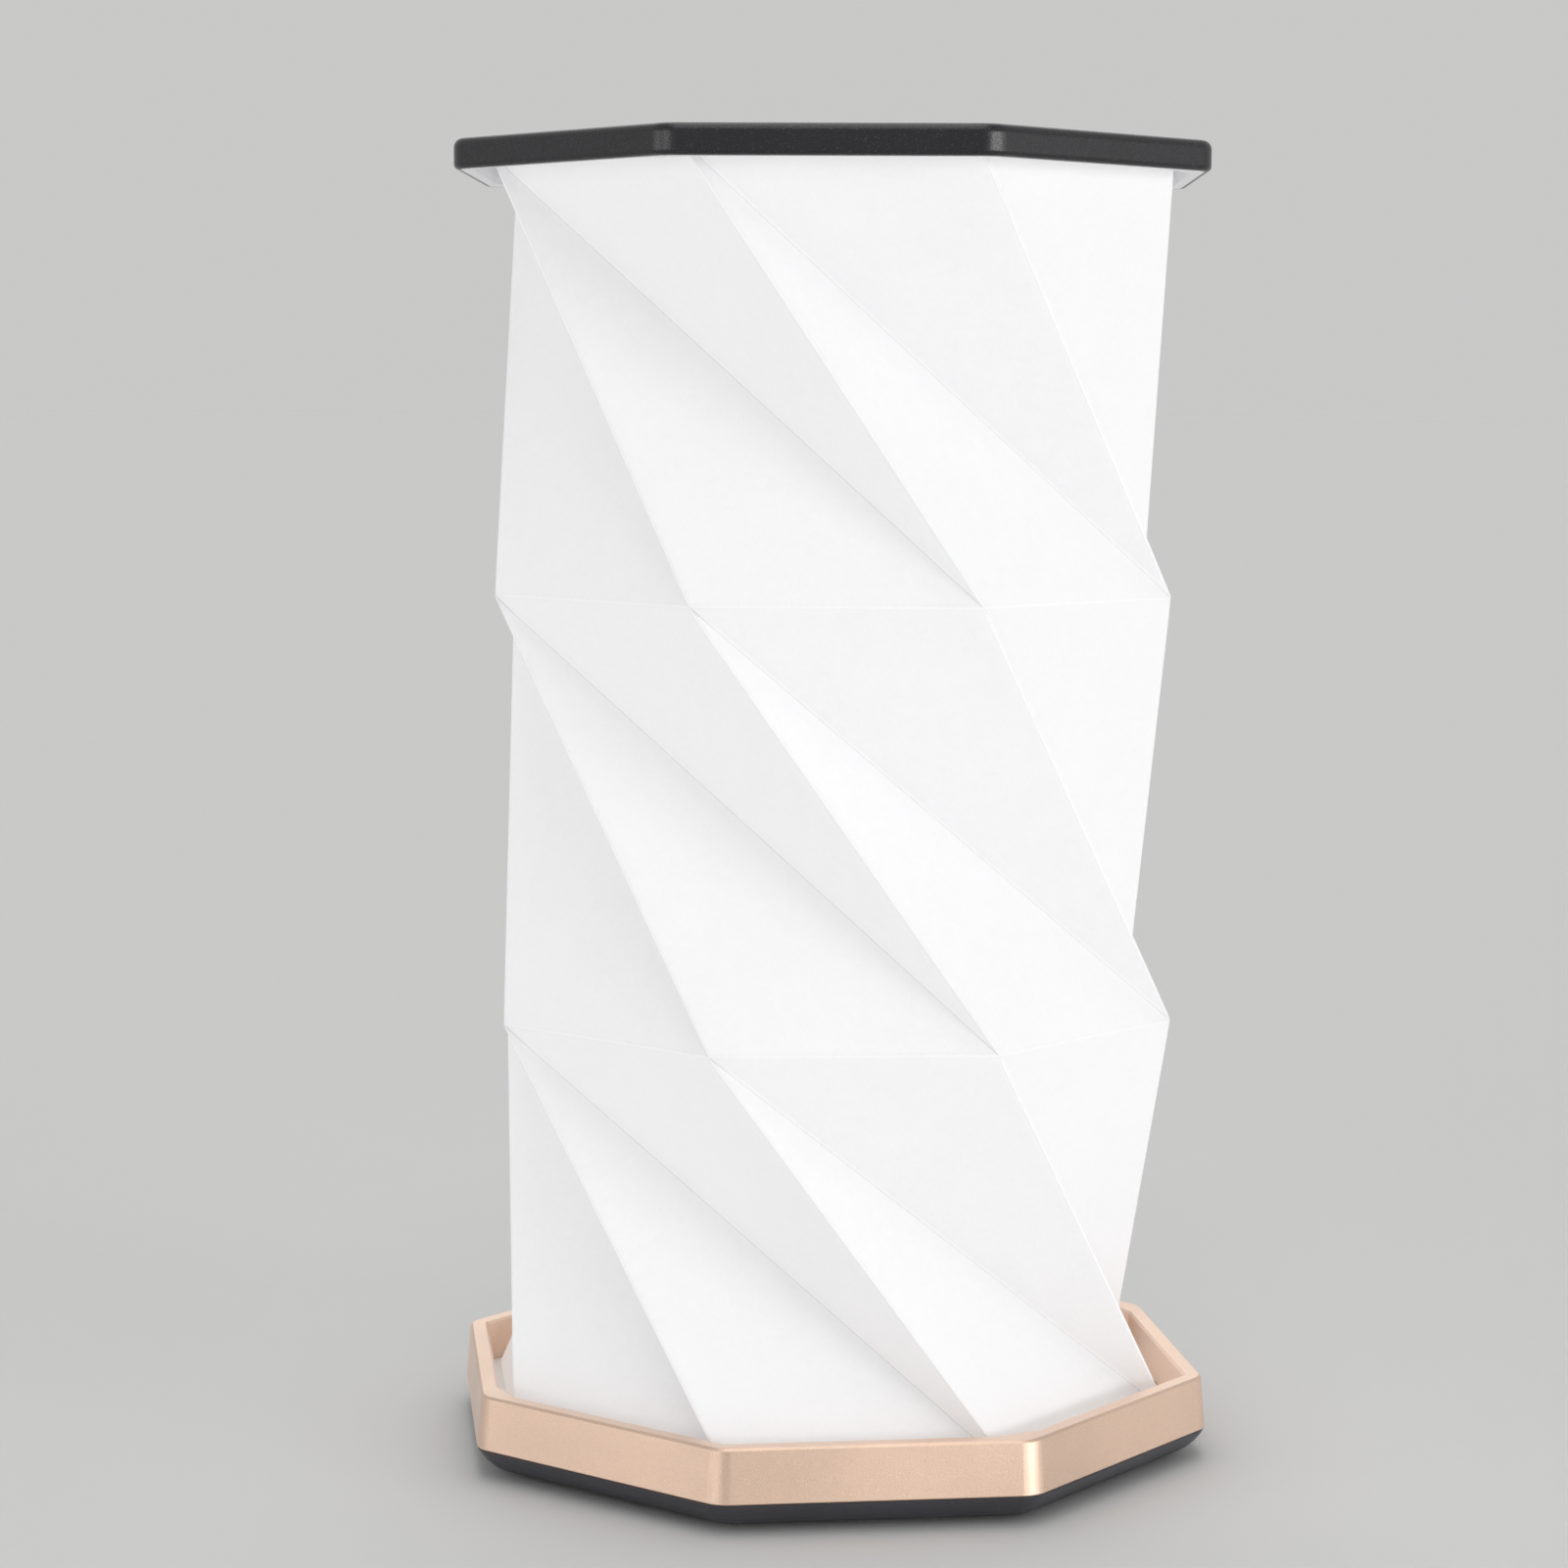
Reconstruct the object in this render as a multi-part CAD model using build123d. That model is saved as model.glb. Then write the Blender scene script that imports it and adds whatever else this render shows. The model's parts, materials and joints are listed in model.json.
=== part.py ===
from build123d import *
import math
import os

os.makedirs("parts", exist_ok=True)

# Folding paper lantern lamp, in millimetres. Z is up, z = 0 is the table, and the octagons' axis is x = y = 0.
# The flats of the base face X and Y. The rear, with the charging inlet and the button, faces +Y.

# ---------------------------------------------------------------- overall sizes
SIDES = 8
BODY_APOTHEM = 60.0  # half the width across flats of the cap and the ring
CORNER_RADIUS = 5.0
CORNER_TIGHTENING = 0.6  # loss of corner radius for each millimetre that a wall draws in
STOREY_HEIGHTS = (70.2, 69.1, 66.4)  # from the head down, each storey more settled than the one above
STOREY_TWISTS = (46.5, 48.4, 48.4)  # degrees from a crease octagon to the next one down
FLAT_STOREY_TWIST = 90.0  # degrees of twist in a storey that is folded flat
CLOSING_GAP = 0.2  # left between the cap and the ring when the lamp is folded
OVERCUT = 1.0  # run of a cutting solid past an open face

# ---------------------------------------------------------------- base
FOOT_PROUD = 0.8
FOOT_RECESS = 0.4
FOOT_RADIUS = 5.0
FOOT_EDGE = 0.3
FOOT_CLEARANCE = 0.05
FOOT_MARGIN = 4.4  # flat left between a foot and the pan's tapered edge
COVER_HEIGHT = 4.3
COVER_INSET = 0.2  # of the pan's wall from the ring's foot
COVER_WALL = 2.7
COVER_FLOOR = 1.2
COVER_TAPER = 4.6  # how far the pan draws in from its wall to its underside
COVER_TAPER_STEPS = 5  # flats that make the curve of the taper
COVER_TAPER_FULLNESS = 1.35  # 1 is a straight taper, 2 is an elliptical one
CAVITY_TAPER = 1.7  # how far the pan's inner wall draws in towards its floor
CAVITY_TAPER_HEIGHT = 0.9
SEAM_CHAMFER = 0.2
RING_HEIGHT = 8.8
RING_DRAFT = 0.7  # how far the ring draws in from its foot to its top
RING_FOOT_FLARE = 0.2
RING_BEVEL = 0.4
RING_INNER_BEVEL = 0.4
RING_LEDGE = 2.2
RING_LEDGE_THICKNESS = 0.7
RING_WALL = 3.5  # from the nominal flat of the body to the tray
TRAY_CORNER_RADIUS = 1.5
TRAY_FLOOR_THICKNESS = 1.2
TRAY_FLOOR_CLEARANCE = 0.1

# ---------------------------------------------------------------- cap
CAP_HEIGHT = 4.9
CAP_ROUND = 1.5
CAP_FOOT_ROUND = 0.8
LINER_THICKNESS = 0.75
LINER_WALL = 0.8
LINER_RECESS = 2.9
LINER_RIM_INSET = 1.0  # black lip of the shell round the liner's rim
LINER_EDGE = 0.2
LINER_CLEARANCE = 0.05
CAP_WALL = 2.5
RECESS_CORNER_RADIUS = 1.5
LINER_TAPE_THICKNESS = 0.1

# ---------------------------------------------------------------- shade
SHADE_CORNER_CLEARANCE = 2.36  # from the shade's foot corners to the sharp corners of the tray
SHEET_THICKNESS = 0.45
FLANGE_WIDTH = 8.0
TAPE_THICKNESS = 0.2
TAPE_MARGIN = 0.5

# ---------------------------------------------------------------- magnets
MAGNET_RADIUS = 1.25
MAGNET_LENGTH = 3.0
MAGNET_OUTER_WALL = 1.2
MAGNET_INNER_WALL = 1.25
MAGNET_CLEARANCE = 0.05

# ---------------------------------------------------------------- screws
SCREW_CLEARANCE = 0.03
SCREW_HOLE_CLEARANCE = 0.1
SCREW_HEAD_EDGE = 0.2
COVER_SCREW_RADIUS = 1.0
COVER_SCREW_HEAD_RADIUS = 1.9
COVER_SCREW_HEAD_HEIGHT = 1.3
COVER_SCREW_LENGTH = 4.0
COVER_SCREW_MARGIN = 2.7  # between a boss and the ring's ledge
COVER_SCREW_SINK = 0.3  # of the head under the pan's underside
BOSS_RADIUS = 3.6
BOSS_HEIGHT = 2.6
POST_RADIUS = 2.6
SMALL_SCREW_RADIUS = 0.8
SMALL_SCREW_HEAD_RADIUS = 1.5
SMALL_SCREW_HEAD_HEIGHT = 0.8
SMALL_SCREW_GRIP = 1.5  # how deep a small screw goes under the board that it holds
DRIVE_DEPTH = 0.5
DRIVE_RATIO = 0.45  # of a screw's hexagon socket, across its flats, to its head

# ---------------------------------------------------------------- light unit
LED_BOARD_RADIUS = 17.5
LED_BOARD_THICKNESS = 1.0
LED_COUNT = 8
LED_CIRCLE = 12.5
LED_LENGTH = 3.5
LED_WIDTH = 2.8
LED_HEIGHT = 0.8
LED_POCKET_RIM = 0.35
LED_POCKET_DEPTH = 0.2
LED_SCREW_CIRCLE = 14.5
LED_BOSS_RADIUS = 2.0
LED_BOSS_HEIGHT = 1.2
WIRE_HOLE_RADIUS = 2.5
DIFFUSER_RADIUS = 21.4
DIFFUSER_WALL = 1.1
DIFFUSER_HEIGHT = 6.7
DIFFUSER_SHOULDER = 3.6
DIFFUSER_SEAT = 0.4
DIFFUSER_CLEARANCE = 0.1

# ---------------------------------------------------------------- power
BATTERY_LENGTH = 44.0
BATTERY_WIDTH = 27.0
BATTERY_THICKNESS = 3.2
BATTERY_TERRACE = 3.0
BATTERY_TERRACE_THICKNESS = 1.6
BATTERY_REAR_Y = -8.0
BATTERY_ROUND = 1.2
PAD_THICKNESS = 0.3
PAD_MARGIN = 4.0
BOARD_LENGTH = 39.0
BOARD_WIDTH = 20.0
BOARD_THICKNESS = 1.0
BOARD_STANDOFF = 1.0
BOARD_REAR_GAP = 0.6
BOARD_CORNER_RADIUS = 1.0
BOARD_SCREW_INSET = 3.5
STANDOFF_RADIUS = 2.2
# parts of the board: x, distance from the board's front edge, length, width, height
CHARGER_CHIP = (-6.0, 5.0, 4.0, 4.0, 0.8)
DRIVER_CHIP = (5.0, 6.0, 3.0, 3.0, 0.9)
DRIVER_COIL = (11.5, 5.5, 4.0, 4.0, 1.5)
INPUT_CAPACITOR = (-11.5, 6.0, 2.0, 1.2, 1.0)
SMALL_CAPACITOR_SIZE = (1.6, 0.8, 0.8)
SMALL_CAPACITOR_ROW = (3.5, 5.5, 7.5)
CHIP_EDGE = 0.15
PORT_X = -10.0
PORT_Z = 3.45
PORT_WIDTH = 8.94
PORT_HEIGHT = 3.16
PORT_DEPTH = 7.35
PORT_SHELL = 0.3
PORT_MOUTH_SINK = 2.8  # of the inlet's mouth from the pan's flat side
PORT_CLEARANCE = 0.15
PORT_EAR = 0.9
PORT_EAR_THICKNESS = 0.25
TONGUE_WIDTH = 6.7
TONGUE_THICKNESS = 0.7
TONGUE_LENGTH = 5.2
TONGUE_EDGE = 0.18
BUTTON_X = 10.0
BUTTON_Z = 3.9
BUTTON_WIDTH = 7.4
BUTTON_HEIGHT = 1.9
BUTTON_PROUD = 0.5
BUTTON_TRAVEL = 0.35
BUTTON_CLEARANCE = 0.1
BUTTON_CROWN = 0.35
BUTTON_FLANGE_WIDTH = 9.6
BUTTON_FLANGE_THICKNESS = 0.8
BUTTON_STEM = 0.55
PLUNGER_RADIUS = 0.7
PLUNGER_PROUD = 0.7
PLUNGER_DEPTH = 0.9
PLUNGER_CLEARANCE = 0.05
SWITCH_WIDTH = 4.7
SWITCH_DEPTH = 2.8
SWITCH_HEIGHT = 2.2
SWITCH_NOTCH_WIDTH = 10.2
NOTCH_CLEARANCE = 0.1
WIRE_RADIUS = 0.5
WIRE_PITCH = 1.6
BATTERY_LEAD_X = -18.0
BOARD_LEAD_X = -13.0
LEAD_STRAIGHT = 12.0  # run of a wire square to the piece that it leaves
LEAD_OVERLAP = 2.0  # of a wire's bare end on its board
LEAD_BEND = 14.0
LEAD_TURN = 1.8  # where the wires turn up through the tray floor
LEAD_SPREAD = 3.0

# ---------------------------------------------------------------- places worked out from the sizes
SECTOR = 360.0 / SIDES
CORNER_ANGLE = SECTOR / 2
CORNER_RATIO = math.cos(math.radians(CORNER_ANGLE))
MAGNET_ANGLES = [CORNER_ANGLE + 90.0 * i for i in range(4)]

TRAY_APOTHEM = BODY_APOTHEM - RING_WALL
RECESS_APOTHEM = BODY_APOTHEM - CAP_WALL
CORNER_REACH = (BODY_APOTHEM - CORNER_RADIUS) / CORNER_RATIO + CORNER_RADIUS
MAGNET_CIRCLE = CORNER_REACH - MAGNET_OUTER_WALL - MAGNET_RADIUS
MAGNET_FLAT = MAGNET_CIRCLE - MAGNET_RADIUS - MAGNET_INNER_WALL  # from the axis to a flat behind a magnet

COVER_BOTTOM = FOOT_PROUD
COVER_TOP = COVER_BOTTOM + COVER_HEIGHT
CAVITY_FLOOR = COVER_BOTTOM + COVER_FLOOR
RING_FOOT_APOTHEM = BODY_APOTHEM + RING_FOOT_FLARE
RING_TOP_APOTHEM = RING_FOOT_APOTHEM - RING_DRAFT
RING_TOP = COVER_TOP + RING_HEIGHT
COVER_APOTHEM = RING_FOOT_APOTHEM - COVER_INSET
COVER_EDGE = COVER_APOTHEM - COVER_TAPER
REAR_WALL_Y = COVER_APOTHEM - COVER_WALL
FLOOR_BOTTOM = COVER_TOP + RING_LEDGE_THICKNESS
FLOOR_TOP = FLOOR_BOTTOM + TRAY_FLOOR_THICKNESS
BOSS_TOP = COVER_BOTTOM + BOSS_HEIGHT
COVER_SCREW_CIRCLE = TRAY_APOTHEM - RING_LEDGE - COVER_SCREW_MARGIN - BOSS_RADIUS
FOOT_CIRCLE = COVER_EDGE - FOOT_MARGIN - FOOT_RADIUS

SHADE_RADIUS = TRAY_APOTHEM / CORNER_RATIO - SHADE_CORNER_CLEARANCE
SHADE_FOOT = FLOOR_TOP + TAPE_THICKNESS
SHADE_HEAD = SHADE_FOOT + sum(STOREY_HEIGHTS)
LEVEL_Z = [SHADE_FOOT + sum(STOREY_HEIGHTS[i:]) for i in range(len(STOREY_HEIGHTS) + 1)]
LEVEL_TURN = [-sum(STOREY_TWISTS[i:]) for i in range(len(STOREY_TWISTS) + 1)]
FLANGE_APOTHEM = SHADE_RADIUS * CORNER_RATIO - FLANGE_WIDTH

LINER_CEILING = SHADE_HEAD + TAPE_THICKNESS
CAP_BOTTOM = LINER_CEILING - LINER_RECESS
LINER_TOP = LINER_CEILING + LINER_THICKNESS
CAP_CEILING = LINER_TOP + LINER_TAPE_THICKNESS
CAP_TOP = CAP_BOTTOM + CAP_HEIGHT
LINER_RIM_TOP = CAP_BOTTOM + LINER_WALL
CAP_MAGNET_LOW = LINER_RIM_TOP + MAGNET_CLEARANCE
CAP_TURN = LEVEL_TURN[0]

BOARD_BOTTOM = CAVITY_FLOOR + BOARD_STANDOFF
BOARD_TOP = BOARD_BOTTOM + BOARD_THICKNESS
BOARD_REAR = REAR_WALL_Y - BOARD_REAR_GAP
BOARD_FRONT = BOARD_REAR - BOARD_WIDTH
PORT_MOUTH = COVER_APOTHEM - PORT_MOUTH_SINK
PORT_BACK = PORT_MOUTH - PORT_DEPTH
BUTTON_FACE = COVER_APOTHEM + BUTTON_PROUD
FLANGE_OUTER = REAR_WALL_Y - NOTCH_CLEARANCE / 2
STEM_END = FLANGE_OUTER - BUTTON_FLANGE_THICKNESS - BUTTON_STEM
SWITCH_FACE = STEM_END - PLUNGER_PROUD
SWITCH_BACK = SWITCH_FACE - SWITCH_DEPTH
PAD_TOP = CAVITY_FLOOR + PAD_THICKNESS
TERRACE_FRONT_Y = BATTERY_REAR_Y - BATTERY_TERRACE
BATTERY_FRONT_Y = TERRACE_FRONT_Y - BATTERY_WIDTH
LED_BOARD_TOP = FLOOR_TOP + LED_BOARD_THICKNESS


# ---------------------------------------------------------------- helpers
def octagon(apothem, corner_radius=0.0):
    """Octagon with flats square to X and Y, and rounded corners."""
    outline = RegularPolygon(apothem, SIDES, major_radius=False, rotation=CORNER_ANGLE)
    return fillet(outline.vertices(), corner_radius) if corner_radius else outline


def magnet_octagon(apothem, corner_flat, corner_radius):
    """Octagon whose four magnet corners are cut by flats at their own distance from the axis."""
    square = Rectangle(2 * corner_flat, 2 * corner_flat, rotation=CORNER_ANGLE)
    outline = octagon(apothem) & square
    return fillet(outline.vertices(), corner_radius)


def stack(levels, corner_radius):
    """Solid through octagons, each a height and an apothem, with tighter corners where it is narrower."""
    widest = max(apothem for _, apothem in levels)
    sections = []
    for z, apothem in levels:
        radius = corner_radius - CORNER_TIGHTENING * (widest - apothem)
        sections.append(Pos(0, 0, z) * octagon(apothem, radius))
    return loft(sections, ruled=True)


def prism(outline, low, high):
    """The outline, drawn about the axis, extruded from one height to another."""
    return extrude(Pos(0, 0, low) * outline, high - low)


def rod(x, y, radius, low, high):
    """Upright cylinder between two heights."""
    return Pos(x, y, low) * extrude(Circle(radius), high - low)


def polar(radius, angle):
    """x and y of a point at a distance and an angle in degrees."""
    return radius * math.cos(math.radians(angle)), radius * math.sin(math.radians(angle))


def block(low, high):
    """Box between two corners."""
    size = [b - a for a, b in zip(low, high)]
    centre = [(a + b) / 2 for a, b in zip(low, high)]
    return Pos(*centre) * Box(*size)


def rearward(outline, x, z, front, rear):
    """A profile drawn in X and Z, extruded towards the rear from one y to another."""
    return extrude(Plane((x, front, z), x_dir=(-1, 0, 0), z_dir=(0, 1, 0)) * outline, rear - front)


def top_edges(solid):
    """Edges round the highest face."""
    return solid.faces().sort_by(Axis.Z)[-1].outer_wire().edges()


def bottom_edges(solid):
    """Edges round the lowest face."""
    return solid.faces().sort_by(Axis.Z)[0].outer_wire().edges()


def corners4(circle, first_angle):
    """Four points a quarter turn apart."""
    return [polar(circle, first_angle + 90.0 * i) for i in range(4)]


def turned(shape):
    """A cap piece, drawn in line with the base and turned to where the open shade holds it."""
    return Rot(0, 0, CAP_TURN) * shape


# ---------------------------------------------------------------- shade
def crease_ring(radius, z, turn):
    """Corners of one octagon of creases."""
    angles = [CORNER_ANGLE + turn + SECTOR * k for k in range(SIDES)]
    return [Vector(*polar(radius, angle), z) for angle in angles]


def folded_prism(radius, heights):
    """Solid inside the folded sheet: each storey has eight ridges and eight valleys between two octagons."""
    rings = [crease_ring(radius, z, turn) for z, turn in zip(heights, LEVEL_TURN)]
    loops = [rings[0], rings[-1]]
    for upper, lower in zip(rings, rings[1:]):
        for k in range(SIDES):
            after = (k + 1) % SIDES
            loops.append([upper[k], lower[k], lower[after]])
            loops.append([upper[k], lower[after], upper[after]])
    return Solid(Shell([Face(Wire.make_polygon(loop)) for loop in loops]))


def paper_shade():
    """Sheet of three storeys, with a flange turned in at its foot and its head."""
    inside = list(LEVEL_Z)
    inside[0] -= SHEET_THICKNESS
    inside[-1] += SHEET_THICKNESS
    sheet = folded_prism(SHADE_RADIUS, LEVEL_Z) - folded_prism(SHADE_RADIUS - SHEET_THICKNESS, inside)
    foot_hole = prism(octagon(FLANGE_APOTHEM), SHADE_FOOT - OVERCUT, SHADE_FOOT + OVERCUT)
    head_hole = prism(octagon(FLANGE_APOTHEM), SHADE_HEAD - OVERCUT, SHADE_HEAD + OVERCUT)
    return sheet - foot_hole - turned(head_hole)


def flange_tape(low):
    """Tape under or over a flange of the shade."""
    outer = octagon(SHADE_RADIUS * CORNER_RATIO - TAPE_MARGIN)
    return prism(outer - octagon(FLANGE_APOTHEM + TAPE_MARGIN), low, low + TAPE_THICKNESS)


# ---------------------------------------------------------------- cap
def cap_shell():
    """Black shell with rounded edges, a step for the liner's rim and pockets for the magnets."""
    shell = prism(octagon(BODY_APOTHEM, CORNER_RADIUS), CAP_BOTTOM, CAP_TOP)
    shell = fillet(top_edges(shell), CAP_ROUND)
    shell = fillet(bottom_edges(shell), CAP_FOOT_ROUND)
    step = octagon(BODY_APOTHEM - LINER_RIM_INSET, CORNER_RADIUS)
    shell -= prism(step, CAP_BOTTOM, LINER_RIM_TOP)
    room = LINER_WALL + LINER_CLEARANCE
    cavity = magnet_octagon(RECESS_APOTHEM + room, MAGNET_FLAT + room, RECESS_CORNER_RADIUS + room)
    shell -= prism(cavity, CAP_BOTTOM, CAP_CEILING)
    for angle in MAGNET_ANGLES:
        shell -= magnet_pocket(angle, LINER_RIM_TOP, CAP_MAGNET_LOW + MAGNET_LENGTH + MAGNET_CLEARANCE)
    return shell


def cap_liner():
    """Pale dish in the shell: a plate for the head of the shade, a low wall and a rim under the shell."""
    rim = octagon(BODY_APOTHEM - LINER_RIM_INSET - LINER_CLEARANCE, CORNER_RADIUS)
    body = magnet_octagon(RECESS_APOTHEM + LINER_WALL, MAGNET_FLAT + LINER_WALL, RECESS_CORNER_RADIUS + LINER_WALL)
    recess = magnet_octagon(RECESS_APOTHEM, MAGNET_FLAT, RECESS_CORNER_RADIUS)
    liner = prism(rim, CAP_BOTTOM, LINER_RIM_TOP) + prism(body, CAP_BOTTOM, LINER_TOP)
    liner -= prism(recess, CAP_BOTTOM, LINER_CEILING)
    mouth = liner.faces().sort_by(Axis.Z)[0].inner_wires()[0].edges()
    return chamfer(mouth, LINER_EDGE)


def liner_tape():
    """Tape between the liner and the shell."""
    return prism(octagon(RECESS_APOTHEM - FLANGE_WIDTH), LINER_TOP, CAP_CEILING)


def magnet_pocket(angle, low, high):
    """Hole for a pin magnet."""
    return rod(*polar(MAGNET_CIRCLE, angle), MAGNET_RADIUS + MAGNET_CLEARANCE, low, high)


def magnets(low, turn):
    """Four pin magnets, as separate solids."""
    places = corners4(MAGNET_CIRCLE, CORNER_ANGLE + turn)
    return Compound(children=[rod(x, y, MAGNET_RADIUS, low, low + MAGNET_LENGTH) for x, y in places])


# ---------------------------------------------------------------- base
def base_ring():
    """Metal ring: drafted sides, a bevelled top, a ledge under the tray floor and blind magnet holes."""
    profile = (
        (COVER_TOP, RING_FOOT_APOTHEM - SEAM_CHAMFER),
        (COVER_TOP + SEAM_CHAMFER, RING_FOOT_APOTHEM),
        (RING_TOP - RING_BEVEL, RING_TOP_APOTHEM),
        (RING_TOP, RING_TOP_APOTHEM - RING_BEVEL),
    )
    ring = stack(profile, CORNER_RADIUS)
    ring -= prism(magnet_octagon(TRAY_APOTHEM, MAGNET_FLAT, TRAY_CORNER_RADIUS), FLOOR_BOTTOM, RING_TOP)
    ring -= prism(octagon(TRAY_APOTHEM - RING_LEDGE, TRAY_CORNER_RADIUS), COVER_TOP, FLOOR_BOTTOM)
    inner_rim = ring.faces().sort_by(Axis.Z)[-1].inner_wires()[0].edges()
    ring = chamfer(inner_rim, RING_INNER_BEVEL)
    for angle in MAGNET_ANGLES:
        ring -= magnet_pocket(angle, COVER_TOP, RING_TOP - RING_BEVEL)
    return ring


def taper_profile():
    """Heights and apothems down the pan's side, along a curve from the seam in to the underside."""
    levels = []
    for i in range(COVER_TAPER_STEPS + 1):
        turn = math.radians(90.0 * i / COVER_TAPER_STEPS)
        inward = 1 - math.cos(turn) ** (2 / COVER_TAPER_FULLNESS)
        down = math.sin(turn) ** (2 / COVER_TAPER_FULLNESS)
        z = COVER_TOP - SEAM_CHAMFER - down * (COVER_HEIGHT - SEAM_CHAMFER)
        levels.append((z, COVER_APOTHEM - inward * COVER_TAPER))
    return levels


def bottom_cover():
    """Black pan: tapered lower edge, screw bosses, board standoffs, foot recesses and the rear openings."""
    pan = stack([(COVER_TOP, COVER_APOTHEM - SEAM_CHAMFER), *taper_profile()], CORNER_RADIUS)
    pan -= stack(
        [
            (COVER_TOP, REAR_WALL_Y),
            (CAVITY_FLOOR + CAVITY_TAPER_HEIGHT, REAR_WALL_Y),
            (CAVITY_FLOOR, REAR_WALL_Y - CAVITY_TAPER),
        ],
        CORNER_RADIUS - COVER_WALL,
    )
    for x, y in corners4(COVER_SCREW_CIRCLE, SECTOR):
        pan += rod(x, y, BOSS_RADIUS, CAVITY_FLOOR, BOSS_TOP)
    for x, y in board_screw_places():
        pan += rod(x, y, STANDOFF_RADIUS, CAVITY_FLOOR, BOARD_BOTTOM)
    head_seat = COVER_BOTTOM + COVER_SCREW_SINK + COVER_SCREW_HEAD_HEIGHT
    for x, y in corners4(COVER_SCREW_CIRCLE, SECTOR):
        pan -= rod(x, y, COVER_SCREW_HEAD_RADIUS + SCREW_HOLE_CLEARANCE, COVER_BOTTOM, head_seat)
        pan -= rod(x, y, COVER_SCREW_RADIUS + SCREW_HOLE_CLEARANCE, COVER_BOTTOM, BOSS_TOP)
    grip_end = BOARD_BOTTOM - SMALL_SCREW_GRIP
    for x, y in board_screw_places():
        pan -= rod(x, y, SMALL_SCREW_RADIUS + SCREW_CLEARANCE, grip_end, BOARD_BOTTOM)
    for x, y in corners4(FOOT_CIRCLE, 0):
        pan -= rod(x, y, FOOT_RADIUS + FOOT_CLEARANCE, COVER_BOTTOM, COVER_BOTTOM + FOOT_RECESS)
    pan -= rear_notch(PORT_X, PORT_Z, (PORT_WIDTH, PORT_HEIGHT), PORT_CLEARANCE, PORT_BACK - PORT_CLEARANCE)
    pan -= rear_notch(BUTTON_X, BUTTON_Z, (BUTTON_WIDTH, BUTTON_HEIGHT), BUTTON_CLEARANCE, REAR_WALL_Y - OVERCUT)
    return pan


def rear_notch(x, z, size, clearance, front):
    """Round-bottomed notch through the rear wall, open at the seam with the ring."""
    width, height = size
    pill = SlotOverall(width + 2 * clearance, height + 2 * clearance)
    half = width / 2 + clearance
    rear = COVER_APOTHEM + OVERCUT
    return rearward(pill, x, z, front, rear) + block((x - half, front, z), (x + half, rear, COVER_TOP))


def tray_floor():
    """White floor of the tray: screw posts under it, a seat for the diffuser and a hole for the wires."""
    corner_flat = MAGNET_FLAT - TRAY_FLOOR_CLEARANCE
    outline = magnet_octagon(TRAY_APOTHEM - TRAY_FLOOR_CLEARANCE, corner_flat, TRAY_CORNER_RADIUS)
    floor = prism(outline, FLOOR_BOTTOM, FLOOR_TOP)
    for x, y in corners4(COVER_SCREW_CIRCLE, SECTOR):
        floor += rod(x, y, POST_RADIUS, BOSS_TOP, FLOOR_BOTTOM)
        tip = BOSS_TOP + COVER_SCREW_LENGTH - screw_boss_grip()
        floor -= rod(x, y, COVER_SCREW_RADIUS + SCREW_CLEARANCE, BOSS_TOP, tip + SCREW_CLEARANCE)
    for x, y in led_screw_places():
        floor += rod(x, y, LED_BOSS_RADIUS, FLOOR_BOTTOM - LED_BOSS_HEIGHT, FLOOR_BOTTOM)
        floor -= rod(x, y, SMALL_SCREW_RADIUS + SCREW_CLEARANCE, FLOOR_TOP - SMALL_SCREW_GRIP, FLOOR_TOP)
    inner_radius = DIFFUSER_RADIUS - DIFFUSER_WALL - DIFFUSER_CLEARANCE
    groove = Circle(DIFFUSER_RADIUS + DIFFUSER_CLEARANCE) - Circle(inner_radius)
    floor -= prism(groove, FLOOR_TOP - DIFFUSER_SEAT, FLOOR_TOP)
    return floor - rod(0, 0, WIRE_HOLE_RADIUS, FLOOR_BOTTOM, FLOOR_TOP)


def screw_boss_grip():
    """Length of a cover screw's shank inside the boss of the pan."""
    return BOSS_HEIGHT - COVER_SCREW_SINK - COVER_SCREW_HEAD_HEIGHT


def rubber_feet():
    """Four round pads in their recesses, with bevelled lower edges."""
    pad = prism(Circle(FOOT_RADIUS), 0, COVER_BOTTOM + FOOT_RECESS)
    pad = chamfer(bottom_edges(pad), FOOT_EDGE)
    return Compound(children=[Pos(x, y, 0) * pad for x, y in corners4(FOOT_CIRCLE, 0)])


# ---------------------------------------------------------------- screws
def screw(radius, length, head_radius, head_height):
    """Screw with its head's underside at z = 0, its shank along +Z and a hexagon socket."""
    head = prism(Circle(head_radius), -head_height, 0)
    head = chamfer(bottom_edges(head), SCREW_HEAD_EDGE)
    socket = RegularPolygon(head_radius * DRIVE_RATIO, 6, major_radius=False)
    head -= prism(socket, -head_height, DRIVE_DEPTH - head_height)
    return head + prism(Circle(radius), 0, length)


def cover_screws():
    """Four screws from below, through the pan into the posts of the tray floor."""
    one = screw(COVER_SCREW_RADIUS, COVER_SCREW_LENGTH, COVER_SCREW_HEAD_RADIUS, COVER_SCREW_HEAD_HEIGHT)
    seat = COVER_BOTTOM + COVER_SCREW_SINK + COVER_SCREW_HEAD_HEIGHT
    return Compound(children=[Pos(x, y, seat) * one for x, y in corners4(COVER_SCREW_CIRCLE, SECTOR)])


def small_screws(places, board_top, board_thickness):
    """Screws from above that hold a board down."""
    length = board_thickness + SMALL_SCREW_GRIP - SCREW_CLEARANCE
    one = screw(SMALL_SCREW_RADIUS, length, SMALL_SCREW_HEAD_RADIUS, SMALL_SCREW_HEAD_HEIGHT)
    return Compound(children=[Pos(x, y, board_top) * Rot(180, 0, 0) * one for x, y in places])


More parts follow.
